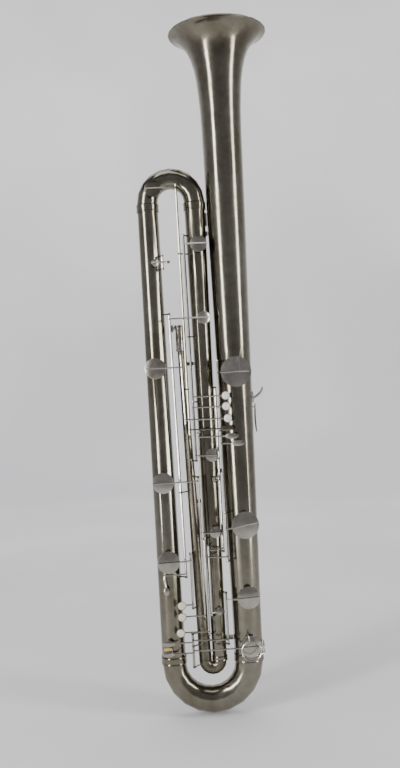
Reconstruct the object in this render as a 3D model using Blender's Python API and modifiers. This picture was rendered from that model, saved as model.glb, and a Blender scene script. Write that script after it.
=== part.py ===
"""Contrabass sarrusophone: a conical metal tube folded into four parallel legs, with its keywork.

The bore runs down the narrow leg from the crook receiver, round the boot bow, up the middle
leg, over the top bow, down the left leg, round the bottom bow and up the bell leg.
Sizes are in millimetres, in a plan whose zero is the lowest point of the bottom bow.
X runs along the row of legs, Y away from the keys, Z up.
"""
import math

import bmesh
import bpy
from mathutils import Matrix, Vector

MM = 0.001
GAP = 0.3
LEAN_GAP = 0.9
SOLDER_LAP = 0.7
ROOT = 0.8
ORIGIN_X = 36.6

# Bell leg: the cone's outer diameters at shares of its height, and the flare's widening below the rim
BELL_X = 76.6
BELL_FOOT_Z = 108.0
BELL_RIM_Z = 1340.0
BELL_RIM_DIAMETER = 194.0
BELL_RIM_ROLL = 3.0
BELL_CONE = [(0, 56), (0.0625, 56.4), (0.21266, 61), (0.5, 68.7), (0.68344, 75), (0.84497, 79)]
BELL_FLARE = [(151, 0.0209), (112, 0.067), (92, 0.1017), (72, 0.1583), (52, 0.2513),
              (32, 0.3913), (22, 0.5304), (12, 0.7043), (4, 0.8957)]
BELL_SIDES = 24

# Left, middle and narrow legs: height of each end, position and outer diameter there.
# The left foot stands over the bottom bow's end.
BOTTOM_BOW_RADIUS = 74.0
LEFT_FOOT = (108.0, BELL_X - 2 * BOTTOM_BOW_RADIUS, 46.5)
LEFT_HEAD = (1000.0, -77.6, 40.8)
MIDDLE_FOOT = (107.0, 19.2, 28.4)
MIDDLE_KNEE = (250.0, 18.56, 30.4)
MIDDLE_HEAD = (1000.0, 15.2, 40.8)
NARROW_FOOT = (106.0, -9.6, 25.0)
NARROW_HEAD = (715.0, -26.5, 13.2)
WALL = 0.9
LEG_SIDES = 16

# Bows
TOP_BOW_TUBE = 41.0
TOP_BOW_STRAIGHT = 10.0
BOTTOM_BOW_Z = 100.0
BOTTOM_BOW_TUBE = 52.0
BOOT_BOW_Z = 101.7
BOOT_BOW_TUBE = 25.6
BOW_STEPS = 10

# Ferrules: sleeves over the joints between legs and bows
FERRULE_LENGTH = 15.0
FERRULE_WALL = 1.0
FERRULE_BEAD = 0.5

# Crook receiver and its thumbscrew
RECEIVER_LENGTH = 52.0
RECEIVER_DIAMETER = 16.0
RECEIVER_BORE = 11.0
RECEIVER_BEAD = 1.6
SCREW_BELOW_RIM = 6.0
SCREW_HEAD_DIAMETER = 15.0
SCREW_HEAD_THICKNESS = 4.6
SCREW_SHANK_DIAMETER = 3.2

# Keywork
HINGE_TUBE = 4.6
HINGE_BORE = 2.7
STEEL_DIAMETER = 2.0
POST_BALL = 6.4
POST_BALL_LENGTH = 4.0
POST_STEM = 3.0
POST_FOOT = 6.0
ARM = 3.3
CHIMNEY_HEIGHT = 3.0
CHIMNEY_WALL = 1.2
CHIMNEY_MARGIN = 3.0
CUP_WALL = 0.8
CUP_DOME = 1.5
PAD_THICKNESS = 3.0
PAD_RISE = 0.9
TOUCH_CUP = 17.6
PEARL = 15.4
PEARL_THICKNESS = 3.2
LEAF_THICKNESS = 2.2
SPRING_DIAMETER = 0.8
SPRING_LENGTH = 30.0

# Braces, thumb hook, strap ring, guard and roller
STRAP_RING_DIAMETER = 26.0
STRAP_RING_WIRE = 3.4
STRAP_RING_Z = 700.0
HOOK_WIRE = 5.0
GUARD_RING = 38.0
GUARD_WIRE = 2.4
GUARD_CLEARANCE = 12.0
ROLLER_DIAMETER = 6.0
ROLLER_LENGTH = 15.0

STEEL = (0.42, 0.41, 0.39, 1.0)
NICKEL = (0.47, 0.46, 0.42, 1.0)
DARK_NICKEL = (0.36, 0.35, 0.31, 1.0)
BRIGHT_NICKEL = (0.62, 0.61, 0.58, 1.0)
LEATHER = (0.55, 0.42, 0.28, 1.0)
MOTHER_OF_PEARL = (0.80, 0.80, 0.70, 1.0)
AGED_PEARL = (0.62, 0.60, 0.42, 1.0)
OLD_HORN = (0.45, 0.36, 0.10, 1.0)


def clear_scene():
    for obj in list(bpy.data.objects):
        bpy.data.objects.remove(obj, do_unlink=True)


def new_collection(name):
    made = bpy.data.collections.new(name)
    bpy.context.scene.collection.children.link(made)
    return made


clear_scene()
PARTS = new_collection("sarrusophone")
WORK = new_collection("workpieces")


def vec(x, y, z):
    return Vector((x, y, z)) * MM


def link(mesh, name="work"):
    obj = bpy.data.objects.new(name, mesh)
    WORK.objects.link(obj)
    return obj


def baked(obj):
    """The object's shape with its modifiers, as a new workpiece in the plan's axes."""
    bpy.context.view_layer.update()
    graph = bpy.context.evaluated_depsgraph_get()
    mesh = bpy.data.meshes.new_from_object(obj.evaluated_get(graph))
    mesh.transform(obj.matrix_world)
    bpy.data.objects.remove(obj, do_unlink=True)
    return tidy(mesh)


def tidy(mesh):
    work = bmesh.new()
    work.from_mesh(mesh)
    bmesh.ops.remove_doubles(work, verts=work.verts, dist=1e-6)
    bmesh.ops.recalc_face_normals(work, faces=work.faces)
    work.to_mesh(mesh)
    work.free()
    return link(mesh)


def facing(origin, direction, side=None):
    """A frame at origin whose Z runs along direction."""
    z = Vector(direction).normalized()
    x = Vector(side) if side else (Vector((0, 1, 0)) if abs(z.y) < 0.9 else Vector((1, 0, 0)))
    x = (x - z * x.dot(z)).normalized()
    y = z.cross(x)
    turn = Matrix((x, y, z)).transposed().to_4x4()
    return Matrix.Translation(origin) @ turn


def turned(profile, frame, sides, closed=False):
    """A profile of (radius, height) points turned about the frame's Z."""
    mesh = bpy.data.meshes.new("profile")
    points = [(r * MM, 0.0, h * MM) for r, h in profile]
    edges = [(i, i + 1) for i in range(len(points) - 1)]
    if closed:
        edges.append((len(points) - 1, 0))
    mesh.from_pydata(points, edges, [])
    obj = link(mesh)
    screw = obj.modifiers.new("Turn", "SCREW")
    screw.axis = "Z"
    screw.angle = 2 * math.pi
    screw.steps = sides
    screw.render_steps = sides
    screw.use_merge_vertices = True
    screw.merge_threshold = 0.00001
    obj.matrix_world = frame
    return baked(obj)


def disc(radius, low, high, frame, sides):
    return turned([(0, high), (radius, high), (radius, low), (0, low)], frame, sides)


def ring(outer, inner, low, high, frame, sides):
    return turned([(outer, high), (outer, low), (inner, low), (inner, high)], frame, sides, closed=True)


def wire(points, diameter, sides=6, cyclic=False):
    """A round bar along points in millimetres. A point may carry its own diameter as a fourth number."""
    curve = bpy.data.curves.new("wire", "CURVE")
    curve.dimensions = "3D"
    curve.twist_mode = "MINIMUM"
    curve.bevel_depth = diameter / 2 * MM
    curve.bevel_resolution = (sides - 4) // 2
    curve.use_fill_caps = not cyclic
    spline = curve.splines.new("POLY")
    spline.points.add(len(points) - 1)
    for target, point in zip(spline.points, points):
        target.co = (point[0] * MM, point[1] * MM, point[2] * MM, 1.0)
        target.radius = point[3] / diameter if len(point) > 3 else 1.0
    spline.use_cyclic_u = cyclic
    obj = bpy.data.objects.new("wire", curve)
    WORK.objects.link(obj)
    return baked(obj)


def block(centre, size, turn_y=0.0):
    work = bmesh.new()
    bmesh.ops.create_cube(work, size=1.0)
    place = Matrix.Translation(vec(*centre)) @ Matrix.Rotation(turn_y, 4, "Y")
    scale = Matrix.Diagonal((size[0] * MM, size[1] * MM, size[2] * MM, 1.0))
    bmesh.ops.transform(work, matrix=place @ scale, verts=work.verts)
    mesh = bpy.data.meshes.new("block")
    work.to_mesh(mesh)
    work.free()
    return link(mesh)


def oval(centre, half_x, half_z, thickness, sides=12):
    """A softly edged oval plate whose back is at centre and which faces the player's fingers."""
    frame = facing(vec(*centre), (0, -1, 0), (1, 0, 0)) @ Matrix.Diagonal((half_x, half_z, 1.0, 1.0))
    t = thickness
    return turned([(0, t), (0.72, t * 0.92), (1.0, t * 0.55), (0.96, 0), (0, 0)], frame, sides)


def combined(first, others, operation="UNION"):
    for other in others:
        boolean = first.modifiers.new(operation, "BOOLEAN")
        boolean.operation = operation
        boolean.solver = "EXACT"
        boolean.object = other
    done = baked(first)
    for other in others:
        bpy.data.objects.remove(other, do_unlink=True)
    return done


# Pieces soldered to each leg or bow, fused with it once its bore is cut
FITTINGS = {"left": [], "middle": [], "narrow": [], "bell": [], "top": [], "boot": []}


def with_fittings(body, leg):
    return combined(body, FITTINGS[leg]) if FITTINGS.get(leg) else body


def grouped(pieces):
    """Several separate solids as one object."""
    work = bmesh.new()
    for piece in pieces:
        work.from_mesh(piece.data)
        bpy.data.objects.remove(piece, do_unlink=True)
    mesh = bpy.data.meshes.new("group")
    work.to_mesh(mesh)
    work.free()
    return link(mesh)


def material(name, colour, roughness, metallic):
    made = bpy.data.materials.new(name)
    made.use_nodes = True
    shader = made.node_tree.nodes["Principled BSDF"]
    shader.inputs["Base Color"].default_value = colour
    shader.inputs["Roughness"].default_value = roughness
    shader.inputs["Metallic"].default_value = metallic
    return made


ORIGIN = Matrix.Translation((-ORIGIN_X * MM, 0.0, 0.0))


def named(piece, name, colour, roughness=0.3, metallic=1.0, frame=None, parent=None):
    """Turns a workpiece into a part of the instrument, with its origin at frame."""
    place = ORIGIN @ frame if frame else Matrix.Identity(4)
    mesh = piece.data
    mesh.transform(place.inverted() @ ORIGIN)
    mesh.materials.clear()
    mesh.materials.append(material(name, colour, roughness, metallic))
    mesh.shade_smooth()
    mesh.set_sharp_from_angle(angle=math.radians(35))
    WORK.objects.unlink(piece)
    PARTS.objects.link(piece)
    piece.name = name
    mesh.name = name
    if parent:
        piece.parent = parent
    piece.matrix_world = place
    return piece


def between(table, z):
    """Value at height z from a list of (z, value)."""
    if z <= table[0][0]:
        return table[0][1]
    for (z0, v0), (z1, v1) in zip(table, table[1:]):
        if z <= z1:
            return v0 + (v1 - v0) * (z - z0) / (z1 - z0)
    return table[-1][1]


# Outer profile of the bell leg, from foot to rim
BELL_THROAT = BELL_CONE[-1][1]
BELL_PROFILE = [(between([(0.0, BELL_FOOT_Z), (1.0, BELL_RIM_Z)], up), width / 2) for up, width in BELL_CONE]
BELL_PROFILE += [(BELL_RIM_Z - down, (BELL_THROAT + (BELL_RIM_DIAMETER - BELL_THROAT) * share) / 2)
                 for down, share in BELL_FLARE]

# Each leg: position of its axis and its outer radius by height
AXES = {
    "bell": [(BELL_FOOT_Z, BELL_X), (BELL_RIM_Z, BELL_X)],
    "left": [LEFT_FOOT[:2], LEFT_HEAD[:2]],
    "middle": [MIDDLE_FOOT[:2], MIDDLE_KNEE[:2], MIDDLE_HEAD[:2]],
    "narrow": [NARROW_FOOT[:2], NARROW_HEAD[:2]],
}
RADII = {
    "bell": BELL_PROFILE,
    "left": [(LEFT_FOOT[0], LEFT_FOOT[2] / 2), (LEFT_HEAD[0], LEFT_HEAD[2] / 2)],
    "middle": [(leg[0], leg[2] / 2) for leg in (MIDDLE_FOOT, MIDDLE_KNEE, MIDDLE_HEAD)],
    "narrow": [(NARROW_FOOT[0], NARROW_FOOT[2] / 2), (NARROW_HEAD[0], NARROW_HEAD[2] / 2)],
}


def leg_x(leg, z):
    return between(AXES[leg], z)


def leg_r(leg, z):
    return between(RADII[leg], z)


# The top bow's bend joins the heads of the left and middle legs
TOP_BOW_X = (LEFT_HEAD[1] + MIDDLE_HEAD[1]) / 2
TOP_BOW_RADIUS = (MIDDLE_HEAD[1] - LEFT_HEAD[1]) / 2
TOP_BOW_Z = LEFT_HEAD[0] + LEAN_GAP + TOP_BOW_STRAIGHT


def seat_of(leg, z, turn):
    """Frame of a tone hole: Z points out of the leg, turned towards +X, and its zero is the seat."""
    if leg == "top":
        reach = TOP_BOW_TUBE / 2
        centre = (TOP_BOW_X - TOP_BOW_RADIUS * math.cos(z), TOP_BOW_Z + TOP_BOW_RADIUS * math.sin(z))
        middle = vec(centre[0] + turn, 0, centre[1])
        out = Vector((0, -1, 0))
    else:
        reach = leg_r(leg, z)
        middle = vec(leg_x(leg, z), 0, z)
        out = Vector((math.sin(turn), -math.cos(turn), 0))
    seat = middle + out * (reach + CHIMNEY_HEIGHT) * MM
    return facing(seat, out, (-out.y, out.x, 0)), reach


# Cups: leg, height (or bend angle), turn round the leg (or shift), outer diameter, sides
CUPS = {
    "top_bow": ("top", math.radians(30.0), 7.0, 33.0, 14),
    "upper_middle": ("middle", 922.4, math.radians(8.0), 33.5, 14),
    "side": ("middle", 778.4, math.radians(14.0), 25.3, 12),
    "upper_left": ("left", 683.3, math.radians(-4.5), 42.0, 16),
    "upper_bell": ("bell", 669.5, math.radians(5.0), 59.6, 20),
    "centre_middle": ("middle", 509.7, math.radians(19.0), 27.3, 12),
    "lower_left": ("left", 460.3, math.radians(-1.0), 41.7, 16),
    "octave": ("middle", 461.8, math.radians(25.0), 13.0, 8),
    "lower_bell": ("bell", 371.8, math.radians(9.0), 53.4, 18),
    "lower_middle": ("middle", 358.7, math.radians(14.0), 23.4, 12),
    "foot_left": ("left", 305.9, math.radians(1.0), 43.7, 16),
    "foot_bell": ("bell", 231.0, math.radians(9.0), 44.1, 16),
    "second_octave": ("middle", 202.8, math.radians(18.0), 17.0, 10),
    "lowest": ("bell", 135.1, math.radians(7.0), 42.5, 16),
    "vent": ("left", 890.0, math.radians(22.0), 16.0, 10),
}


def chimneys(leg):
    """Solid necks and their bores for every tone hole of a leg."""
    necks = []
    bores = []
    for cup_leg, z, turn, width, sides in CUPS.values():
        if cup_leg != leg:
            continue
        frame, reach = seat_of(cup_leg, z, turn)
        frame = frame @ Matrix.Rotation(math.radians(5.0), 4, "Z")
        outer = width / 2 - CHIMNEY_MARGIN
        base = -(CHIMNEY_HEIGHT + reach * 0.62)
        necks.append(disc(outer, base, 0, frame, sides))
        bores.append(disc(outer - CHIMNEY_WALL, base + reach * 0.3, 5, frame, sides))
    return necks, bores


def leg_line(leg, z):
    return vec(leg_x(leg, z), 0, z)


def straight_leg(leg, name, sides, colour):
    """A tapered tube with its chimneys."""
    stations = [z for z, _ in RADII[leg]]
    up = leg_line(leg, stations[-1]) - leg_line(leg, stations[0])
    frame = facing(leg_line(leg, stations[0]), up)
    heights = [(leg_line(leg, z) - leg_line(leg, stations[0])).length / MM for z in stations]
    radii = [leg_r(leg, z) for z in stations]
    outer = [(0, heights[-1])] + list(zip(reversed(radii), reversed(heights))) + [(0, 0)]
    inner = [(r - WALL, h) for r, h in zip(reversed(radii), reversed(heights))]
    inner[0] = (inner[0][0], heights[-1] + 5)
    inner[-1] = (inner[-1][0], -5)
    bore_profile = [(0, heights[-1] + 5)] + inner + [(0, -5)]
    necks, bores = chimneys(leg)
    body = combined(turned(outer, frame, sides), necks)
    hollow = combined(turned(bore_profile, frame, sides), bores)
    body = with_fittings(combined(body, [hollow], "DIFFERENCE"), leg)
    return named(body, name, colour, 0.25)


def bell_leg():
    rim = BELL_RIM_DIAMETER / 2
    roll = BELL_RIM_ROLL
    top = BELL_RIM_Z
    outer = [(0, top), (rim - roll * 1.1, top), (rim - roll * 0.3, top - roll * 0.1), (rim, top - roll * 0.5),
             (rim - roll * 0.4, top - roll)]
    outer += [(r, z) for z, r in reversed(BELL_PROFILE)]
    outer += [(0, BELL_FOOT_Z)]
    inner = [(0, top + 8), (rim + 12, top + 8), (rim - roll * 1.3, top)]
    inner += [(r - WALL, z + WALL * 0.4) for z, r in reversed(BELL_PROFILE)]
    inner[-1] = (inner[-1][0], BELL_FOOT_Z - 5)
    inner += [(0, BELL_FOOT_Z - 5)]
    frame = Matrix.Translation(vec(BELL_X, 0, 0))
    necks, bores = chimneys("bell")
    body = combined(turned(outer, frame, BELL_SIDES), necks)
    hollow = combined(turned(inner, frame, BELL_SIDES), bores)
    body = with_fittings(combined(body, [hollow], "DIFFERENCE"), "bell")
    return named(body, "bell_tube", NICKEL, 0.25)


def arc(centre_x, centre_z, radius, start, end, steps, diameters):
    points = []
    for i in range(steps + 1):
        share = i / steps
        angle = start + (end - start) * share
        points.append((centre_x + radius * math.cos(angle), 0.0, centre_z + radius * math.sin(angle),
                       between(diameters, share)))
    return points


def bow(name, path, sides, necks, bores, colour):
    """A bent tube: the swept outside less the swept bore, with straight ends added to the bore."""
    widest = max(point[3] for point in path)
    outside = wire(path, widest, sides)
    inside = [(x, y, z, width - 2 * WALL) for x, y, z, width in path]
    for end, inner in ((0, 1), (-1, -2)):
        a = Vector(path[end][:3])
        b = Vector(path[inner][:3])
        run = Vector((0, 0, math.copysign(4.0, (a - b).z)))
        tip = (a.x + run.x, a.y + run.y, a.z + run.z, inside[end][3])
        inside = [tip] + inside if end == 0 else inside + [tip]
    body = combined(outside, necks) if necks else outside
    body = combined(body, [wire(inside, widest, sides)] + bores, "DIFFERENCE")
    body = with_fittings(body, name.replace("_bow", ""))
    return named(body, name, colour, 0.25)


def bows():
    necks, bores = chimneys("top")
    low = LEFT_HEAD[0] + LEAN_GAP
    tube = TOP_BOW_TUBE
    path = [(LEFT_HEAD[1], 0, low, tube)]
    path += arc(TOP_BOW_X, TOP_BOW_Z, TOP_BOW_RADIUS, math.pi, 0, BOW_STEPS, [(0, tube), (1, tube)])
    path += [(MIDDLE_HEAD[1], 0, low, tube)]
    bow("top_bow", path, LEG_SIDES, necks, bores, NICKEL)
    centre = BELL_X - BOTTOM_BOW_RADIUS
    widths = [(0, LEFT_FOOT[2]), (0.5, BOTTOM_BOW_TUBE), (1, BELL_CONE[0][1] - 0.4)]
    path = arc(centre, BOTTOM_BOW_Z, BOTTOM_BOW_RADIUS, math.pi, 2 * math.pi, BOW_STEPS, widths)
    path[0] = (LEFT_FOOT[1], 0, BOTTOM_BOW_Z, LEFT_FOOT[2])
    path = [(LEFT_FOOT[1], 0, LEFT_FOOT[0] - LEAN_GAP, LEFT_FOOT[2])] + path
    path += [(BELL_X, 0, BELL_FOOT_Z - LEAN_GAP, BELL_CONE[0][1] - 0.4)]
    bow("bottom_bow", path, LEG_SIDES, [], [], NICKEL)
    centre = (NARROW_FOOT[1] + MIDDLE_FOOT[1]) / 2
    reach = (MIDDLE_FOOT[1] - NARROW_FOOT[1]) / 2
    widths = [(0, NARROW_FOOT[2]), (0.5, BOOT_BOW_TUBE), (1, MIDDLE_FOOT[2] - 1.0)]
    path = arc(centre, BOOT_BOW_Z, reach, math.pi, 2 * math.pi, 8, widths)
    path = [(NARROW_FOOT[1], 0, NARROW_FOOT[0] - LEAN_GAP, NARROW_FOOT[2])] + path
    path += [(MIDDLE_FOOT[1], 0, MIDDLE_FOOT[0] - LEAN_GAP, MIDDLE_FOOT[2] - 1.0)]
    bow("boot_bow", path, 16, [], [], DARK_NICKEL)


def ferrule(x, z, inside_radius, length, wall, bead, sides, above):
    """A beaded sleeve centred on height z, gripping the leg on one side and clearing the bow on the other."""
    r = (inside_radius + GAP) / math.cos(math.pi / sides)
    hold = inside_radius - WALL / 2
    out = r + wall
    top = out + bead
    h = length / 2
    step = SOLDER_LAP if above else -SOLDER_LAP
    profile = [(out, h), (top, h - 1.5), (out, h - 3.2), (out, 3.2 - h), (top, 1.5 - h), (out, -h)]
    profile += [(r, -h), (r, step), (hold, step), (hold, h)] if above else [(hold, -h), (hold, step), (r, step), (r, h)]
    return turned(profile, Matrix.Translation(vec(x, 0, z)), sides, closed=True)


def ferrules():
    size = (FERRULE_LENGTH, FERRULE_WALL, FERRULE_BEAD)
    for leg, head in (("left", LEFT_HEAD), ("middle", MIDDLE_HEAD)):
        width = max(head[2], TOP_BOW_TUBE) / 2
        FITTINGS[leg].append(ferrule(head[1], head[0], width, *size, LEG_SIDES, False))
    FITTINGS["left"].append(ferrule(LEFT_FOOT[1], LEFT_FOOT[0], LEFT_FOOT[2] / 2, *size, LEG_SIDES, True))
    FITTINGS["bell"].append(ferrule(BELL_X, BELL_FOOT_Z, BELL_CONE[0][1] / 2, *size, BELL_SIDES, True))
    FITTINGS["middle"].append(ferrule(MIDDLE_FOOT[1], MIDDLE_FOOT[0], MIDDLE_FOOT[2] / 2, 10.0, 0.5, 0.5, LEG_SIDES, True))


RECEIVER_Z = NARROW_HEAD[0] + GAP
RECEIVER_X = NARROW_HEAD[1] - 1.0
RECEIVER_TOP = RECEIVER_Z + RECEIVER_LENGTH
SCREW_Z = RECEIVER_TOP - SCREW_BELOW_RIM


def receiver():
    r = RECEIVER_DIAMETER / 2
    h = RECEIVER_LENGTH
    b = RECEIVER_BEAD
    frame = Matrix.Translation(vec(RECEIVER_X, 0, RECEIVER_Z))
    profile = [(r + b, h), (r + b, h - 2.5), (r, h - 4), (r, 5), (r + b * 0.6, 4), (r + b * 0.6, 1.5), (r, 0),
               (RECEIVER_BORE / 2, 0), (RECEIVER_BORE / 2, h)]
    body = turned(profile, frame, 16, closed=True)
    screw = facing(vec(RECEIVER_X, 0, SCREW_Z), (-1, 0, 0))
    boss = disc(3.6, RECEIVER_BORE / 2 + 0.8, r + 2.6, screw, 10)
    hole = disc(SCREW_SHANK_DIAMETER / 2 + GAP, 2, r + 8, screw, 10)
    body = combined(body, [boss])
    body = combined(body, [hole], "DIFFERENCE")
    named(body, "crook_receiver", BRIGHT_NICKEL, 0.25)
    head = r + 2.6 + 2 * GAP
    s = SCREW_SHANK_DIAMETER / 2
    k = SCREW_HEAD_DIAMETER / 2
    t = SCREW_HEAD_THICKNESS
    profile = [(0, head + t), (k * 0.8, head + t), (k, head + t * 0.75), (k, head + t * 0.25), (k * 0.8, head),
               (s, head), (s, RECEIVER_BORE / 2 - 1.2), (0, RECEIVER_BORE / 2 - 1.2)]
    knob = turned(profile, screw, 12)
    named(knob, "thumbscrew", DARK_NICKEL, 0.35, frame=facing(vec(RECEIVER_X - head, 0, SCREW_Z), (-1, 0, 0)))


# Hinge lines: x and y of the steel at an upper and a lower height
LINES = {
    "a": ((-19.4, -24.0, 1043.5), (-16.8, -21.0, 548.0)),
    "b": ((-9.6, -25.0, 940.0), (-6.9, -25.0, 499.7)),
    "d": ((-27.0, -17.0, 710.5), (-24.0, -17.0, 569.5)),
    "q": ((0.6, -24.0, 554.5), (0.6, -24.0, 159.7)),
    "e": ((44.0, -31.0, 692.0), (44.0, -31.0, 303.0)),
    "c": ((-45.5, -20.0, 788.5), (-38.4, -20.0, 273.5)),
    "i": ((-5.5, -22.0, 468.0), (-5.5, -22.0, 190.5)),
    "l": ((-28.0, -18.0, 318.5), (-28.0, -18.0, 211.5)),
    "s": ((37.0, -9.0, 640.5), (37.0, -9.0, 318.5)),
    "r": ((7.6, -27.0, 334.5), (7.6, -27.0, 194.5)),
    "o": ((37.0, -25.0, 240.5), (37.0, -25.0, 140.0)),
    "w": ((-32.0, -17.0, 160.5), (-32.0, -17.0, 95.5)),
    "v": ((-53.0, -22.0, 903.0), (-53.0, -22.0, 877.0)),
}

# Posts: hinge line, height, leg that carries it
POSTS = [
    ("a", 1043.5, "top"), ("a", 548.0, "narrow"),
    ("b", 940.0, "middle"), ("b", 614.5, "middle"), ("b", 499.7, "narrow"),
    ("d", 710.5, "narrow"), ("d", 569.5, "narrow"),
    ("q", 554.5, "middle"), ("q", 347.0, "middle"), ("q", 159.7, "middle"),
    ("e", 692.0, "bell"), ("e", 397.0, "bell"), ("e", 303.0, "bell"),
    ("c", 788.5, "left"), ("c", 273.5, "left"),
    ("i", 468.0, "narrow"), ("i", 190.5, "narrow"),
    ("l", 318.5, "narrow"), ("l", 211.5, "narrow"),
    ("s", 640.5, "middle"), ("s", 318.5, "middle"),
    ("r", 334.5, "middle"), ("r", 194.5, "middle"),
    ("o", 240.5, "middle"), ("o", 140.0, "middle"),
    ("w", 160.5, "narrow"), ("w", 136.7, "narrow"), ("w", 95.5, "boot"),
    ("v", 903.0, "left"), ("v", 877.0, "left"),
]

# Open guides that steady the longest hinge tubes
GUIDES = [("a", 905.0, "middle"), ("a", 640.0, "narrow"), ("c", 439.0, "narrow"), ("b", 742.0, "middle"),
          ("e", 556.0, "bell")]


def line_point(line, z):
    top, low = LINES[line]
    share = (z - low[2]) / (top[2] - low[2])
    return vec(low[0] + (top[0] - low[0]) * share, low[1] + (top[1] - low[1]) * share, z)


def line_up(line):
    top, low = LINES[line]
    return (vec(*top) - vec(*low)).normalized()


def carrier(leg, head):
    """Nearest point on the axis of what carries a post, and its radius there."""
    z = head.z / MM
    if leg == "top":
        middle = vec(TOP_BOW_X, 0, TOP_BOW_Z)
        out = Vector((head.x, 0, head.z)) - middle
        return middle + out.normalized() * TOP_BOW_RADIUS * MM, TOP_BOW_TUBE / 2
    if leg == "boot":
        centre = (NARROW_FOOT[1] + MIDDLE_FOOT[1]) / 2
        reach = (MIDDLE_FOOT[1] - NARROW_FOOT[1]) / 2
        middle = vec(centre, 0, BOOT_BOW_Z)
        out = Vector((head.x, 0, head.z)) - middle
        return middle + out.normalized() * reach * MM, NARROW_FOOT[2] / 2 + 0.3
    return vec(leg_x(leg, z), 0, z), leg_r(leg, z)


def post(line, z, leg, guide=False, holds_steel=False):
    """A soldered foot and stem with a drilled ball for the steel, or an open guide for a hinge tube."""
    head = line_point(line, z)
    base, reach = carrier(leg, head)
    out = head - base
    far = out.length / MM
    low = reach - ROOT
    hole = (HINGE_TUBE / 2 + 0.35) if guide else STEEL_DIAMETER / 2 + 0.3
    ball = hole + 1.5 if guide else POST_BALL / 2
    half = POST_BALL_LENGTH / 2 * (0.7 if guide else 1.0)
    stem_end = far - (hole + ball) / 2
    flare = min(1.6, (stem_end - low) * 0.4)
    profile = [(0, stem_end), (POST_STEM / 2, stem_end), (POST_STEM / 2, low + flare), (POST_FOOT / 2, low), (0, low)]
    stem = turned(profile, facing(base, out), 6)
    shoulder = ball * 0.8
    shape = [(shoulder, half), (ball, 0), (shoulder, -half), (hole, -half), (hole, half)]
    if holds_steel:
        shape = [(0, half), (shoulder, half), (ball, 0), (shoulder, -half), (0, -half)]
    bead = turned(shape, facing(head, line_up(line), out), 8, closed=not holds_steel)
    return combined(bead, [stem])


def posts():
    """Posts and guides, and each line's steel fixed in its highest post."""
    for line, z, leg in POSTS:
        top, low = LINES[line]
        highest = z == top[2]
        FITTINGS[leg].append(post(line, z, leg, holds_steel=highest))
        if highest:
            end = Vector(low) - line_up(line) * (POST_BALL_LENGTH / 2 + 0.8)
            FITTINGS[leg].append(wire([tuple(top), tuple(end)], STEEL_DIAMETER, 8))
    for line, z, leg in GUIDES:
        FITTINGS[leg].append(post(line, z, leg, guide=True))


# Springs: hinge line and the height of the post below or above which each needle spring starts
SPRINGS = [("a", 548.0, 1), ("b", 614.5, 1), ("b", 499.7, 1), ("d", 569.5, 1), ("q", 554.5, -1), ("q", 159.7, 1),
           ("e", 692.0, -1), ("e", 303.0, 1), ("c", 788.5, -1), ("i", 468.0, -1), ("l", 211.5, 1),
           ("s", 318.5, 1), ("r", 334.5, -1), ("o", 240.5, -1), ("w", 160.5, -1), ("w", 95.5, 1)]


def springs():
    """Needle springs, each fixed in a post and lying along the hinge tube."""
    carriers = {(line, z): leg for line, z, leg in POSTS}
    for line, z, way in SPRINGS:
        back = HINGE_TUBE / 2 + SPRING_DIAMETER / 2 + GAP
        length = min(SPRING_LENGTH, 16.0) if line == "w" else SPRING_LENGTH
        start = line_point(line, z) / MM
        end = line_point(line, z + way * (POST_BALL_LENGTH / 2 + length)) / MM
        needle = wire([(start.x, start.y + back, start.z), (end.x, end.y + back, end.z)], SPRING_DIAMETER, 6)
        FITTINGS[carriers[(line, z)]].append(needle)


def cup_solid(cup):
    leg, z, turn, width, sides = CUPS[cup]
    frame, _ = seat_of(leg, z, turn)
    r = width / 2
    top = PAD_THICKNESS + 2 * GAP
    low = PAD_RISE
    profile = [(0, top + CUP_WALL + CUP_DOME), (r * 0.66, top + CUP_WALL + CUP_DOME * 0.72), (r, top + CUP_WALL * 0.2),
               (r, low), (r - CUP_WALL, low), (r - CUP_WALL, top), (0, top)]
    return turned(profile, frame, sides)


def pad_solid(cup):
    leg, z, turn, width, sides = CUPS[cup]
    frame, _ = seat_of(leg, z, turn)
    r = (width / 2 - CUP_WALL) * math.cos(math.pi / sides) - GAP
    return disc(r, GAP, PAD_THICKNESS + GAP, frame, sides)


def rib_points(cup, near, tilt=0.0):
    """Centreline of the rib across a cup, from the side near the hinge to the far side."""
    leg, z, turn, width, _ = CUPS[cup]
    frame, _ = seat_of(leg, z, turn)
    lift = PAD_THICKNESS + 2 * GAP + CUP_WALL + CUP_DOME + ARM * 0.16
    points = []
    for share in (near, -near * 0.86):
        along = share * width / 2
        points.append(frame @ (Vector((math.cos(tilt) * along, math.sin(tilt) * along, lift)) * MM) / MM)
    return [tuple(point) for point in points]


def hinge_tube(line, low, high):
    frame = facing(line_point(line, low), line_up(line))
    length = (line_point(line, high) - line_point(line, low)).length / MM
    r = HINGE_TUBE / 2
    return ring(r, HINGE_BORE / 2, 0, length, frame, 8)


def arm_start(line, z, side=0.0):
    """Point just inside the wall of a hinge tube, on its front."""
    point = line_point(line, z) / MM
    reach = (HINGE_TUBE + HINGE_BORE) / 4
    return (point.x + math.sin(side) * reach, point.y - math.cos(side) * reach, point.z)


def touch_cup(centre):
    """A round metal dish that holds a pearl. Its back is at centre and it faces -Y."""
    frame = facing(vec(*centre), (0, -1, 0))
    r = TOUCH_CUP / 2
    inner = PEARL / 2 + GAP
    profile = [(0, 1.5), (inner, 1.5), (inner, 3.2), (r - 0.2, 3.2), (r, 2.4), (r * 0.84, 0), (0, 0)]
    return turned(profile, frame, 12)


def pearl_solid(centre):
    frame = facing(vec(*centre), (0, -1, 0))
    r = PEARL / 2 * math.cos(math.pi / 12)
    low = 1.5 + GAP
    t = PEARL_THICKNESS
    return turned([(0, low + t), (r * 0.7, low + t * 0.86), (r, low + t * 0.4), (r, low), (0, low)], frame, 12)


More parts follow.
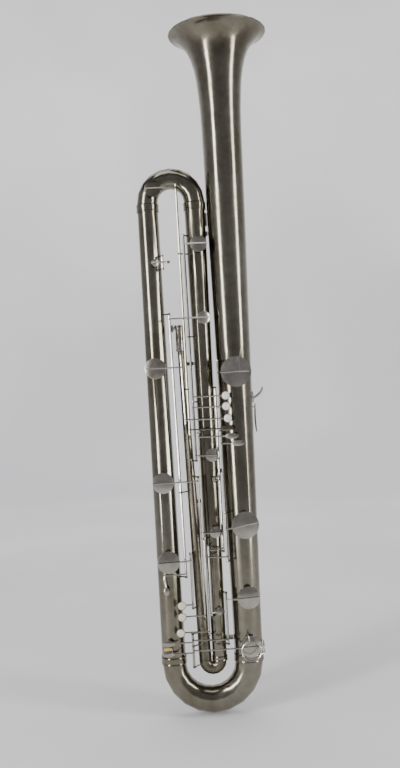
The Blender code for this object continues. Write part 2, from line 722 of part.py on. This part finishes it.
def swing(piece, line, z, angle):
    """Turns a workpiece about its hinge line."""
    pivot = line_point(line, z)
    turn = Matrix.Translation(pivot) @ Matrix.Rotation(angle, 4, line_up(line)) @ Matrix.Translation(-pivot)
    piece.data.transform(turn)
    return piece


def key(name, line, low, high, cup, arms, touches, rest, pearl=None, pearl_colour=MOTHER_OF_PEARL):
    """One key: a hinge tube with its arms, cup and touch, then its pad and pearl, at rest."""
    middle = (low + high) / 2
    pieces = [wire(points, ARM) for points in arms] + touches
    if cup:
        pieces.append(cup_solid(cup))
    body = combined(hinge_tube(line, low, high), pieces)
    frame = facing(line_point(line, middle), line_up(line), (1, 0, 0))
    lever = named(swing(body, line, middle, rest), "key_" + name, BRIGHT_NICKEL, 0.25, frame=frame)
    if cup:
        pad = swing(pad_solid(cup), line, middle, rest)
        named(pad, "pad_" + name, LEATHER, 0.8, 0.0, frame=frame, parent=lever)
    if pearl:
        disc_piece = swing(pearl_solid(pearl), line, middle, rest)
        named(disc_piece, "pearl_" + name, pearl_colour, 0.25, 0.0, frame=frame, parent=lever)
    return lever


BALL = POST_BALL_LENGTH / 2 + GAP
OPEN_WIDE = math.radians(8.0)
OPEN_MAIN = math.radians(6.5)
OPEN_LONG = math.radians(5.0)
OPEN_LOW = math.radians(6.0)

LH_ONE = (58.0, 624.3)
LH_TWO = (58.0, 603.7)
LH_THREE = (58.0, 580.4)
RH_ONE = (-51.3, 220.4)
RH_TWO = (-51.1, 198.6)
RH_THREE = (-54.3, 167.4)
FIRST_LEAF = (55.8, 561.0)
SECOND_LEAF = (66.5, 546.0)
THIRD_LEAF = (77.4, 531.6)
UPPER_LOW_LEAF = (-80.0, 147.6)
LOWER_LOW_LEAF = (-81.0, 127.0)
NEAR_Y = -36.0
FAR_Y = -42.0


def left_hand_arm(line, z, end_x, depth):
    """The arm from a hinge line, over the other rods, to a left-hand touch."""
    start = arm_start(line, z)
    return [start, (start[0] + 1.0, min(start[1] - 6.0, depth + 9.0), z), (33.0, depth + 0.8, z), (end_x, depth, z)]


def left_hand_keys():
    back = ARM * 0.18
    start = arm_start("b", 922.4)
    rib = rib_points("upper_middle", -1.0)
    key("upper_middle", "b", 614.5 + BALL, 940.0 - BALL, "upper_middle",
        [[start, (start[0] + 1, start[1] - 4, 922.4)] + rib, left_hand_arm("b", LH_ONE[1], LH_ONE[0] + 4, NEAR_Y)],
        [touch_cup((LH_ONE[0], NEAR_Y - back, LH_ONE[1]))], -OPEN_MAIN, (LH_ONE[0], NEAR_Y - back, LH_ONE[1]))
    start = arm_start("b", 509.7)
    rib = rib_points("centre_middle", -1.0)
    key("centre_middle", "b", 499.7 + BALL, 614.5 - BALL, "centre_middle",
        [[start, (start[0] + 1, start[1] - 4, 509.7)] + rib, left_hand_arm("b", LH_TWO[1], LH_TWO[0] + 4, NEAR_Y)],
        [touch_cup((LH_TWO[0], NEAR_Y - back, LH_TWO[1]))], -OPEN_MAIN, (LH_TWO[0], NEAR_Y - back, LH_TWO[1]))
    start = arm_start("d", 683.3)
    rib = rib_points("upper_left", 1.0)
    key("upper_left", "d", 569.5 + BALL, 710.5 - BALL, "upper_left",
        [[start, (start[0] - 2, -28.0, 683.3)] + rib, left_hand_arm("d", LH_THREE[1], LH_THREE[0] + 4, FAR_Y)],
        [touch_cup((LH_THREE[0], FAR_Y - back, LH_THREE[1]))], 0.0, (LH_THREE[0], FAR_Y - back, LH_THREE[1]))
    start = arm_start("a", 1034.7)
    cup_z = seat_of(*CUPS["top_bow"][:3])[0].translation.z / MM
    rib = rib_points("top_bow", 1.0)
    key("top_bow", "a", 548.0 + BALL, 1043.5 - BALL, "top_bow",
        [[start, (start[0] - 2, -30.0, cup_z)] + rib, left_hand_arm("a", FIRST_LEAF[1], FIRST_LEAF[0] - 4, FAR_Y)],
        [oval((FIRST_LEAF[0], FAR_Y - back, FIRST_LEAF[1]), 13.0, 5.6, LEAF_THICKNESS)], 0.0)
    start = arm_start("q", 358.7)
    rib = rib_points("lower_middle", -1.0)
    key("lower_middle", "q", 347.0 + BALL, 554.5 - BALL, "lower_middle",
        [[start, (start[0] + 1, start[1] - 3, 358.7)] + rib,
         left_hand_arm("q", SECOND_LEAF[1], SECOND_LEAF[0] - 4, NEAR_Y)],
        [oval((SECOND_LEAF[0], NEAR_Y - back, SECOND_LEAF[1]), 13.0, 5.8, LEAF_THICKNESS)], -OPEN_MAIN)
    start = arm_start("e", 669.5)
    rib = rib_points("upper_bell", -1.0)
    leaf = arm_start("e", THIRD_LEAF[1])
    leaf_y = -leg_r("bell", THIRD_LEAF[1]) - 5.5
    key("upper_bell", "e", 397.0 + BALL, 692.0 - BALL, "upper_bell",
        [[start, (start[0] + 1, start[1] - 6, 669.5)] + rib,
         [leaf, (leaf[0] + 2, leaf[1] - 4, THIRD_LEAF[1]), (THIRD_LEAF[0] - 6, leaf_y, THIRD_LEAF[1])]],
        [oval((THIRD_LEAF[0], leaf_y - back, THIRD_LEAF[1]), 13.0, 5.8, LEAF_THICKNESS)], -OPEN_WIDE)
    start = arm_start("v", 890.0)
    rib = rib_points("vent", 1.0)
    key("vent", "v", 877.0 + BALL, 903.0 - BALL, "vent",
        [[start, (start[0] - 1, start[1] - 4, 890.0)] + rib, [start, (start[0] + 2, start[1] - 4.5, 890.0), (-41.0, -29.5, 889.0)]],
        [oval((-41.5, -30.0, 889.0), 4.5, 3.2, LEAF_THICKNESS, 10)], 0.0)


def octave_keys():
    """The thumb lever passes behind the bell leg and lifts both octave pads through a link."""
    start = arm_start("s", 461.8)
    rib = rib_points("octave", 1.0)
    bell = leg_r("bell", 600.0)
    round_back = [(38.4, -8.0, 600.0), (39.2, 6.0, 600.0), (BELL_X - 32.6, bell * 0.82, 600.0),
                  (BELL_X - 16.0, bell + 9.0, 600.0), (BELL_X + 6.0, bell + 12.0, 600.0), (BELL_X + 27.0, bell + 3.0, 600.0),
                  (BELL_X + bell + 4.6, 19.0, 598.0), (BELL_X + bell + 6.0, 8.0, 592.0)]
    strip = [(BELL_X + bell + 6.4, 6.0, 605.0, 5.0), (BELL_X + bell + 4.4, 6.0, 592.0, 8.0),
             (BELL_X + bell + 3.6, 6.0, 575.0, 9.0), (BELL_X + bell + 4.8, 6.0, 560.0, 8.0),
             (BELL_X + bell + 7.4, 6.0, 549.0, 5.0)]
    plate = wire(strip, 9.0, 8)
    squeeze = Matrix.Translation(vec(BELL_X + bell + 5.0, 0, 0)) @ Matrix.Diagonal((0.45, 1.0, 1.0, 1.0))
    plate.data.transform(squeeze @ Matrix.Translation(vec(-BELL_X - bell - 5.0, 0, 0)))
    link_start = arm_start("s", 326.0)
    key("octave", "s", 318.5 + BALL, 640.5 - BALL, "octave",
        [[start, (34.0, -19.0, 461.8)] + rib, round_back,
         [link_start, (34.5, -22.0, 326.0), (30.0, -27.4, 326.0), (20.5, -27.6, 326.0)]],
        [plate], 0.0)
    start = arm_start("r", 202.8)
    rib = rib_points("second_octave", -1.0)
    link_start = arm_start("r", 326.0)
    key("second_octave", "r", 194.5 + BALL, 334.5 - BALL, "second_octave",
        [[start, (start[0] + 1, start[1] - 2, 202.8)] + rib, [link_start, (10.0, -31.2, 326.0), (23.5, -31.6, 326.0)]],
        [], 0.0)


def right_hand_keys():
    back = ARM * 0.18
    start = arm_start("c", 778.4)
    rib = rib_points("side", -1.0)
    lever = arm_start("c", 281.0)
    key("side", "c", 273.5 + BALL, 788.5 - BALL, "side",
        [[start, (start[0] + 2, -30.5, 778.4), (0.0, -32.0, 778.4)] + rib,
         [lever, (lever[0] - 1.5, -29.5, 281.0), (-76.0, -31.0, 280.5), (-80.8, -31.0, 278.0), (-81.5, -31.0, 271.0),
          (-78.5, -31.0, 254.0)]],
        [oval((-77.6, -31.0 - back, 249.5), 5.4, 8.2, LEAF_THICKNESS)], 0.0)
    start = arm_start("i", 460.3)
    rib = rib_points("lower_left", 1.0)
    arm = arm_start("i", RH_TWO[1])
    key("lower_left", "i", 190.5 + BALL, 468.0 - BALL, "lower_left",
        [[start, (start[0] - 2, -27.5, 460.3)] + rib, [arm, (arm[0] - 2, -27.5, RH_TWO[1]), (RH_TWO[0] - 4, -27.5, RH_TWO[1])]],
        [touch_cup((RH_TWO[0], -27.5 - back, RH_TWO[1]))], OPEN_LONG, (RH_TWO[0], -27.5 - back, RH_TWO[1]), AGED_PEARL)
    start = arm_start("l", 305.9)
    rib = rib_points("foot_left", 1.0)
    arm = arm_start("l", RH_ONE[1])
    key("foot_left", "l", 211.5 + BALL, 318.5 - BALL, "foot_left",
        [[start, (start[0] - 2, -26.5, 305.9)] + rib, [arm, (arm[0] - 1, -27.5, RH_ONE[1]), (RH_ONE[0] - 4, -27.5, RH_ONE[1])]],
        [touch_cup((RH_ONE[0], -27.5 - back, RH_ONE[1]))], OPEN_MAIN, (RH_ONE[0], -27.5 - back, RH_ONE[1]), AGED_PEARL)
    arm = arm_start("q", RH_THREE[1])
    link_start = arm_start("q", 312.0)
    key("bell_link", "q", 159.7 + BALL, 347.0 - BALL, None,
        [[arm, (arm[0] - 2, -29.5, RH_THREE[1]), (RH_THREE[0] - 4, -29.5, RH_THREE[1])],
         [link_start, (6.0, -31.6, 312.0), (25.5, -32.5, 312.0)]],
        [touch_cup((RH_THREE[0], -29.5 - back, RH_THREE[1]))], 0.0, (RH_THREE[0], -29.5 - back, RH_THREE[1]), AGED_PEARL)
    tilt = math.radians(9.0)
    rib = rib_points("lower_bell", -1.0, tilt)
    start = arm_start("e", rib[0][2] - 1.6)
    link_start = arm_start("e", 312.0)
    key("lower_bell", "e", 303.0 + BALL, 397.0 - BALL, "lower_bell",
        [[start, (start[0] + 1, start[1] - 5, start[2])] + rib,
         [link_start, (42.5, -38.0, 312.0), (22.5, -38.5, 312.0)]], [], -OPEN_LOW)
    start = arm_start("o", 228.0)
    rib = rib_points("foot_bell", -1.0, math.radians(3.0))
    link_start = arm_start("o", 150.0)
    key("foot_bell", "o", 140.0 + BALL, 240.5 - BALL, "foot_bell",
        [[start, (start[0] + 1, start[1] - 5, 228.5)] + rib, [link_start, (34.0, -31.0, 150.0), (2.0, -33.5, 150.0)]],
        [], -OPEN_LONG)
    leaf = arm_start("w", UPPER_LOW_LEAF[1])
    link_start = arm_start("w", 150.0)
    key("low_leaf", "w", 136.7 + BALL, 160.5 - BALL, None,
        [[leaf, (leaf[0] - 1.5, -29.0, UPPER_LOW_LEAF[1]), (-72.0, -31.0, UPPER_LOW_LEAF[1])],
         [link_start, (-29.0, -25.2, 150.0), (6.0, -26.6, 150.0)]],
        [oval((UPPER_LOW_LEAF[0], -31.0 - back, UPPER_LOW_LEAF[1]), 13.5, 6.4, LEAF_THICKNESS)], 0.0)


def lowest_key():
    """The lowest key, whose leaf carries a roller on its upper edge."""
    back = ARM * 0.18
    start = arm_start("w", 131.0)
    rib = rib_points("lowest", -1.0)
    leaf = arm_start("w", LOWER_LOW_LEAF[1])
    x, z = LOWER_LOW_LEAF
    roller_z = z + 10.0
    roller_y = -33.0
    half = ROLLER_LENGTH / 2
    lugs = []
    for side in (-1, 1):
        lugs.append(block((x + side * (half + GAP + 0.9), roller_y, z + 6.4), (1.6, 3.0, 10.0)))
    pin = wire([(x - half - 1.2, roller_y, roller_z), (x + half + 1.2, roller_y, roller_z)], 1.6, 8)
    key("lowest", "w", 95.5 + BALL, 136.7 - BALL, "lowest",
        [[start, (start[0] + 2, -29.0, 131.0), (20.0, -33.0, 131.5)] + rib,
         [leaf, (leaf[0] - 1.5, -29.0, z), (x + 8, -31.0, z)]],
        [oval((x, -31.0 - back, z), 13.5, 5.4, LEAF_THICKNESS)] + lugs + [pin], 0.0)
    frame = facing(vec(x, roller_y, roller_z), (1, 0, 0))
    r = ROLLER_DIAMETER / 2
    bore = 0.8 + GAP
    profile = [(r, half - 1.5), (r, 1.5 - half), (r - 0.8, -half), (bore, -half), (bore, half), (r - 0.8, half)]
    roller = turned(profile, frame, 12, closed=True)
    named(roller, "roller", OLD_HORN, 0.4, 0.0, frame=frame, parent=bpy.data.objects["key_lowest"])


def braces():
    """Short blocks soldered to one leg and reaching to its neighbour."""
    for left, right, z, tall, deep in (("middle", "bell", 973.0, 26.0, 9.0), ("middle", "bell", 945.0, 9.0, 9.0),
                                       ("middle", "bell", 476.0, 8.0, 8.0), ("middle", "bell", 146.0, 8.0, 8.0),
                                       ("narrow", "middle", 690.0, 7.0, 5.0), ("narrow", "middle", 418.0, 7.0, 5.0)):
        a = leg_x(left, z) + leg_r(left, z) - ROOT
        b = leg_x(right, z) - leg_r(right, z) - 2 * GAP
        FITTINGS[left].append(block(((a + b) / 2, 0, z), (b - a, deep, tall)))


def thumb_hook():
    """A curved hook for the left thumb on a soldered plate."""
    r = leg_r("bell", 613.0)
    x = BELL_X + r + GAP
    plate = block((x + 1.2, 0, 618.0), (1.8, 9.0, 22.0))
    path = [(x + 1.0, 0, 616.0, 5.6), (x + 5, -1, 617.5, 5.2), (x + 10, -3, 621.0, 5.0), (x + 15, -5, 625.5, 4.8),
            (x + 19, -7, 631.0, 4.4), (x + 20.5, -9, 637.0, 4.0)]
    hook = wire(path, HOOK_WIRE, 8)
    named(combined(hook, [plate]), "thumb_hook", BRIGHT_NICKEL, 0.25)


def strap_ring():
    """A fixed ring on a soldered plate behind the bell leg, from which the instrument hangs."""
    r = leg_r("bell", STRAP_RING_Z)
    y = r + GAP
    plate = block((BELL_X, y + 1.4, STRAP_RING_Z), (12.0, 2.2, 26.0))
    reach = STRAP_RING_DIAMETER / 2
    centre_y = y + 1.6 + reach
    points = []
    for i in range(16):
        angle = 2 * math.pi * i / 16
        points.append((BELL_X, centre_y + reach * math.cos(angle), STRAP_RING_Z + reach * math.sin(angle)))
    loop = wire(points, STRAP_RING_WIRE, 8, cyclic=True)
    named(combined(plate, [loop]), "strap_ring", BRIGHT_NICKEL, 0.25)


def guard():
    """A wire ring on three feet that keeps clothing off the lowest pad."""
    leg, z, turn, width, _ = CUPS["lowest"]
    frame, reach = seat_of(leg, z, turn)
    y = frame.translation.y / MM - PAD_THICKNESS - CUP_WALL - CUP_DOME - ARM - GUARD_CLEARANCE
    x = frame.translation.x / MM
    z = z - 4.0
    r = GUARD_RING / 2
    points = [(x + r * math.cos(2 * math.pi * i / 18), y, z + r * math.sin(2 * math.pi * i / 18)) for i in range(18)]
    body = wire(points, GUARD_WIRE, 6, cyclic=True)
    legs = []
    for angle, out in ((100.0, 28.5), (-38.0, 21.0)):
        a = math.radians(angle)
        foot_x = x + out * math.cos(a)
        foot_z = z + out * math.sin(a)
        off = max(0.0, abs(foot_x - BELL_X) - GUARD_WIRE)
        surface = -math.sqrt(leg_r("bell", foot_z) ** 2 - off ** 2) - GAP
        legs.append(wire([(x + r * math.cos(a), y, z + r * math.sin(a)), (foot_x, y + 2, foot_z), (foot_x, surface, foot_z)],
                         GUARD_WIRE))
    side_x = BELL_X + leg_r("bell", z) + GAP + GUARD_WIRE / 2 + 0.4
    loop = [(x + r * 0.94, y, z + 6), (side_x - 2, y + 3, z + 7), (side_x, y + 12, z + 7), (side_x, -4, z + 7),
            (side_x, -4, z - 7), (side_x, y + 12, z - 7), (side_x - 2, y + 3, z - 7), (x + r * 0.94, y, z - 6)]
    legs.append(wire(loop, GUARD_WIRE))
    named(combined(body, legs), "low_key_guard", BRIGHT_NICKEL, 0.25)


ferrules()
posts()
springs()
braces()
bell_leg()
straight_leg("left", "left_tube", LEG_SIDES, NICKEL)
straight_leg("middle", "middle_tube", LEG_SIDES, NICKEL)
straight_leg("narrow", "narrow_tube", 16, DARK_NICKEL)
bows()
receiver()
left_hand_keys()
octave_keys()
right_hand_keys()
lowest_key()
thumb_hook()
strap_ring()
guard()
bpy.data.collections.remove(WORK)
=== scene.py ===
"""A contrabass sarrusophone in tarnished nickel silver, before a pale studio sweep."""
import math

import bpy
from mathutils import Matrix, Vector

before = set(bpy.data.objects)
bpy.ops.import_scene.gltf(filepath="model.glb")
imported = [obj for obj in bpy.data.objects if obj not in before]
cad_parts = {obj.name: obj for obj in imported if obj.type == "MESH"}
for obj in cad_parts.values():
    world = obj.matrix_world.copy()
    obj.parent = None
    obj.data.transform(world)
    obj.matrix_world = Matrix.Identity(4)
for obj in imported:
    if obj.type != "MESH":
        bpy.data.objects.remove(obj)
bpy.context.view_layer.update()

# The camera of the photograph, in metres and degrees
CAMERA_PLACE = (-0.0286, -1.722, 0.649)
LEAN = math.radians(3.0)
FOCAL_PIXELS = 870.0
PICTURE_HEIGHT = 768.0
SENSOR = 36.0

# The floor lies this far under the lowest point
FLOOR_DROP = 0.004

# Surfaces stay smooth up to this angle between faces, and points nearer than this are one
SMOOTH_ANGLE = math.radians(32.0)
MERGE_DISTANCE = 0.000002

# The round sweep: a flat floor that curves up into a wall
FLOOR_RADIUS = 3.7
SWEEP_BEND = 0.9
WALL_HEIGHT = 4.4
BEND_STEPS = 12
SWEEP_SIDES = 96

# Area lights: name, place, target, width, height and power in watts
SOFT_BOXES = (
    ("left_box", (-1.35, -1.25, 0.95), (0.0, 0.0, 0.75), 0.26, 1.9, 36.0),
    ("right_box", (1.55, -0.8, 0.9), (0.05, 0.0, 0.7), 0.28, 1.8, 24.0),
    ("top_light", (0.0, -0.3, 2.7), (0.0, 0.2, 0.6), 1.6, 1.2, 16.0),
    ("back_light", (0.0, 1.5, 3.6), (0.0, 4.5, 1.0), 3.6, 1.0, 135.0),
)
AMBIENT_COLOUR = (0.62, 0.62, 0.65, 1.0)
AMBIENT_STRENGTH = 0.22

# Plated metals: clean, worn and stained colour, then lowest and highest roughness
TUBE_METAL = ((0.33, 0.315, 0.27), (0.18, 0.165, 0.12), (0.075, 0.062, 0.035), 0.13, 0.24)
NARROW_METAL = ((0.24, 0.225, 0.185), (0.14, 0.125, 0.09), (0.06, 0.05, 0.03), 0.18, 0.34)
KEY_METAL = ((0.56, 0.55, 0.51), (0.38, 0.365, 0.32), (0.18, 0.155, 0.11), 0.18, 0.30)
KNOB_METAL = ((0.30, 0.28, 0.24), (0.20, 0.18, 0.15), (0.10, 0.08, 0.06), 0.26, 0.42)

# Shell and horn: light and dark colour
UPPER_PEARL = ((0.82, 0.83, 0.77), (0.62, 0.66, 0.58))
LOWER_PEARL = ((0.70, 0.68, 0.52), (0.52, 0.50, 0.34))
ROLLER_HORN = ((0.50, 0.38, 0.08), (0.30, 0.21, 0.05))
ROSE_SHARE = 0.94

LEATHER_LIGHT = (0.52, 0.40, 0.26)
LEATHER_DARK = (0.30, 0.21, 0.12)
PAPER_LIGHT = (0.80, 0.79, 0.80)
PAPER_DARK = (0.73, 0.72, 0.74)

# The middle stretch of a noise texture's values, which spread() widens
NOISE_LOW = 0.3
NOISE_HIGH = 0.7


def set_socket(node, name, value):
    node.inputs[name].default_value = value


class Surface:
    """A procedural material: its node tree and the nodes that every surface here uses."""

    def __init__(self, name, metallic, specular=0.5):
        self.material = bpy.data.materials.new(name)
        self.material.use_nodes = True
        self.tree = self.material.node_tree
        self.shader = self.tree.nodes["Principled BSDF"]
        set_socket(self.shader, "Metallic", metallic)
        set_socket(self.shader, "Specular IOR Level", specular)
        self.place = self.add("ShaderNodeTexCoord").outputs["Object"]

    def add(self, kind):
        return self.tree.nodes.new(kind)

    def join(self, source, target):
        self.tree.links.new(source, target)

    def noise(self, scale, detail=4.0, rough=0.5, stretch=(1.0, 1.0, 1.0)):
        mapping = self.add("ShaderNodeMapping")
        mapping.inputs["Scale"].default_value = stretch
        self.join(self.place, mapping.inputs["Vector"])
        texture = self.add("ShaderNodeTexNoise")
        set_socket(texture, "Scale", scale)
        set_socket(texture, "Detail", detail)
        set_socket(texture, "Roughness", rough)
        self.join(mapping.outputs["Vector"], texture.inputs["Vector"])
        return texture.outputs["Fac"]

    def ramp(self, source, stops):
        ramp = self.add("ShaderNodeValToRGB")
        elements = ramp.color_ramp.elements
        while len(elements) < len(stops):
            elements.new(0.5)
        for element, (place, colour) in zip(elements, stops):
            element.position = place
            element.color = (*colour, 1.0)
        self.join(source, ramp.inputs["Fac"])
        return ramp.outputs["Color"]

    def spread(self, source, low, high):
        """The source from 0 to 1, spread from low to high."""
        spread = self.add("ShaderNodeMapRange")
        set_socket(spread, "From Min", NOISE_LOW)
        set_socket(spread, "From Max", NOISE_HIGH)
        set_socket(spread, "To Min", low)
        set_socket(spread, "To Max", high)
        self.join(source, spread.inputs["Value"])
        return spread.outputs["Result"]

    def mixed(self, factor, first, second):
        mix = self.add("ShaderNodeMix")
        mix.data_type = "RGBA"
        self.join(factor, mix.inputs[0])
        self.join(first, mix.inputs[6])
        self.join(second, mix.inputs[7])
        return mix.outputs[2]

    def bump(self, source, strength, distance):
        bump = self.add("ShaderNodeBump")
        set_socket(bump, "Strength", strength)
        set_socket(bump, "Distance", distance)
        self.join(source, bump.inputs["Height"])
        self.join(bump.outputs["Normal"], self.shader.inputs["Normal"])


def metal(name, clean, worn, stain, rough_low, rough_high):
    """Old plate: cloudy tarnish, fine handling scratches and darker stains in patches."""
    surface = Surface(name, 1.0)
    clouds = surface.noise(9.0, 6.0, 0.6, (1.0, 1.0, 0.35))
    patches = surface.noise(3.2, 8.0, 0.7)
    specks = surface.noise(70.0, 3.0, 0.6)
    base = surface.ramp(clouds, [(0.34, worn), (0.62, clean)])
    stains = surface.ramp(specks, [(0.3, stain), (0.75, worn)])
    factor = surface.spread(patches, 0.0, 0.9)
    surface.join(surface.mixed(factor, base, stains), surface.shader.inputs["Base Color"])
    scratches = surface.noise(24.0, 4.0, 0.6, (2.0, 2.0, 0.5))
    surface.join(surface.spread(scratches, rough_low, rough_high), surface.shader.inputs["Roughness"])
    surface.bump(surface.noise(14.0, 2.0, 0.5), 0.05, 0.0008)
    return surface.material


def leather(name):
    surface = Surface(name, 0.0, 0.3)
    grain = surface.noise(420.0, 6.0, 0.6)
    tone = surface.noise(30.0, 4.0, 0.5)
    surface.join(surface.ramp(tone, [(NOISE_LOW, LEATHER_DARK), (NOISE_HIGH, LEATHER_LIGHT)]),
                 surface.shader.inputs["Base Color"])
    surface.join(surface.spread(grain, 0.65, 0.9), surface.shader.inputs["Roughness"])
    surface.bump(grain, 0.4, 0.0003)
    return surface.material


def shell(name, light, dark):
    """Mother of pearl: soft banded clouds with a hint of green and rose."""
    surface = Surface(name, 0.0, 0.6)
    bands = surface.noise(90.0, 3.0, 0.5, (1.0, 1.0, 2.6))
    tint = surface.noise(220.0, 2.0, 0.5)
    rose = surface.ramp(tint, [(0.35, light), (0.65, tuple(v * ROSE_SHARE for v in light))])
    green = surface.ramp(bands, [(0.3, dark), (0.7, light)])
    blended = surface.mixed(surface.spread(bands, 0.1, 0.8), rose, green)
    surface.join(blended, surface.shader.inputs["Base Color"])
    surface.join(surface.spread(tint, 0.2, 0.36), surface.shader.inputs["Roughness"])
    set_socket(surface.shader, "Coat Weight", 0.4)
    set_socket(surface.shader, "Coat Roughness", 0.15)
    return surface.material


def plain_sweep(name, light, dark):
    """Painted backdrop paper: nearly even, with a faint grain."""
    surface = Surface(name, 0.0, 0.2)
    tone = surface.noise(1.2, 2.0, 0.4)
    grain = surface.noise(300.0, 3.0, 0.5)
    surface.join(surface.ramp(tone, [(0.35, dark), (0.65, light)]), surface.shader.inputs["Base Color"])
    surface.join(surface.spread(grain, 0.8, 0.95), surface.shader.inputs["Roughness"])
    return surface.material


def smoothing():
    """A modifier's node tree that shades faces smooth and keeps edges sharper than SMOOTH_ANGLE."""
    tree = bpy.data.node_groups.new("smooth_by_angle", "GeometryNodeTree")
    tree.interface.new_socket("Geometry", in_out="INPUT", socket_type="NodeSocketGeometry")
    tree.interface.new_socket("Geometry", in_out="OUTPUT", socket_type="NodeSocketGeometry")
    source = tree.nodes.new("NodeGroupInput")
    target = tree.nodes.new("NodeGroupOutput")
    faces = tree.nodes.new("GeometryNodeSetShadeSmooth")
    edges = tree.nodes.new("GeometryNodeSetShadeSmooth")
    edges.domain = "EDGE"
    edges.inputs["Shade Smooth"].default_value = False
    angle = tree.nodes.new("GeometryNodeInputMeshEdgeAngle")
    sharp = tree.nodes.new("FunctionNodeCompare")
    sharp.data_type = "FLOAT"
    sharp.operation = "GREATER_THAN"
    sharp.inputs[1].default_value = SMOOTH_ANGLE
    merged = tree.nodes.new("GeometryNodeMergeByDistance")
    merged.inputs["Distance"].default_value = MERGE_DISTANCE
    cleared = tree.nodes.new("GeometryNodeRemoveAttribute")
    cleared.inputs["Name"].default_value = "custom_normal"
    tree.links.new(source.outputs[0], merged.inputs["Geometry"])
    tree.links.new(merged.outputs["Geometry"], cleared.inputs["Geometry"])
    tree.links.new(cleared.outputs["Geometry"], faces.inputs["Geometry"])
    tree.links.new(faces.outputs["Geometry"], edges.inputs["Geometry"])
    tree.links.new(angle.outputs["Unsigned Angle"], sharp.inputs[0])
    tree.links.new(sharp.outputs["Result"], edges.inputs["Selection"])
    tree.links.new(edges.outputs["Geometry"], target.inputs[0])
    return tree


def dress_nodes():
    """Every CAD node keeps its shape and gets a smooth finish and its own surface."""
    tube = metal("tube_nickel", *TUBE_METAL)
    narrow = metal("narrow_nickel", *NARROW_METAL)
    keys = metal("key_nickel", *KEY_METAL)
    knob = metal("knob_nickel", *KNOB_METAL)
    pads = leather("pad_leather")
    upper_pearl = shell("upper_pearl", *UPPER_PEARL)
    lower_pearl = shell("lower_pearl", *LOWER_PEARL)
    horn = shell("roller_horn", *ROLLER_HORN)
    left_hand = ("pearl_upper_middle", "pearl_centre_middle", "pearl_upper_left")
    finish = smoothing()
    for name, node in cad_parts.items():
        if name.startswith("pad_"):
            chosen = pads
        elif name in left_hand:
            chosen = upper_pearl
        elif name.startswith("pearl_"):
            chosen = lower_pearl
        elif name == "roller":
            chosen = horn
        elif name == "thumbscrew":
            chosen = knob
        elif name in ("narrow_tube", "boot_bow"):
            chosen = narrow
        elif name.endswith(("_tube", "_bow")):
            chosen = tube
        else:
            chosen = keys
        node.data.materials.clear()
        node.data.materials.append(chosen)
        modifier = node.modifiers.new("Smooth", "NODES")
        modifier.node_group = finish


def studio():
    """A pale round sweep, two tall soft boxes in front and soft lights above and on the wall."""
    profile = [(0.0, 0.0)]
    for step in range(BEND_STEPS + 1):
        angle = math.pi / 2 * step / BEND_STEPS
        out = FLOOR_RADIUS + SWEEP_BEND * math.sin(angle)
        profile.append((out, SWEEP_BEND - SWEEP_BEND * math.cos(angle)))
    profile.append((FLOOR_RADIUS + SWEEP_BEND, WALL_HEIGHT))
    mesh = bpy.data.meshes.new("sweep")
    edges = [(k, k + 1) for k in range(len(profile) - 1)]
    mesh.from_pydata([(radius, 0.0, z - FLOOR_DROP) for radius, z in profile], edges, [])
    mesh.materials.append(plain_sweep("sweep_paper", PAPER_LIGHT, PAPER_DARK))
    sweep = bpy.data.objects.new("sweep", mesh)
    bpy.context.scene.collection.objects.link(sweep)
    turn = sweep.modifiers.new("Turn", "SCREW")
    turn.steps = SWEEP_SIDES
    turn.render_steps = SWEEP_SIDES
    turn.use_merge_vertices = True
    turn.use_smooth_shade = True
    for soft in SOFT_BOXES:
        soft_box(*soft)
    world = bpy.data.worlds.new("studio")
    world.use_nodes = True
    background = world.node_tree.nodes["Background"]
    set_socket(background, "Color", AMBIENT_COLOUR)
    set_socket(background, "Strength", AMBIENT_STRENGTH)
    bpy.context.scene.world = world


def soft_box(name, place, target, width, height, power):
    data = bpy.data.lights.new(name, "AREA")
    data.shape = "RECTANGLE"
    data.size = width
    data.size_y = height
    data.energy = power
    light = bpy.data.objects.new(name, data)
    light.location = place
    light.rotation_euler = (Vector(target) - Vector(place)).to_track_quat("-Z", "Y").to_euler()
    bpy.context.scene.collection.objects.link(light)


def camera():
    data = bpy.data.cameras.new("camera")
    data.sensor_fit = "VERTICAL"
    data.sensor_height = SENSOR
    data.lens = FOCAL_PIXELS * SENSOR / PICTURE_HEIGHT
    made = bpy.data.objects.new("camera", data)
    right = Vector((math.cos(LEAN), 0.0, -math.sin(LEAN)))
    up = Vector((math.sin(LEAN), 0.0, math.cos(LEAN)))
    back = right.cross(up)
    turn = Matrix((right, up, back)).transposed().to_4x4()
    made.matrix_world = Matrix.Translation(CAMERA_PLACE) @ turn
    bpy.context.scene.collection.objects.link(made)
    bpy.context.scene.camera = made


camera()
dress_nodes()
studio()
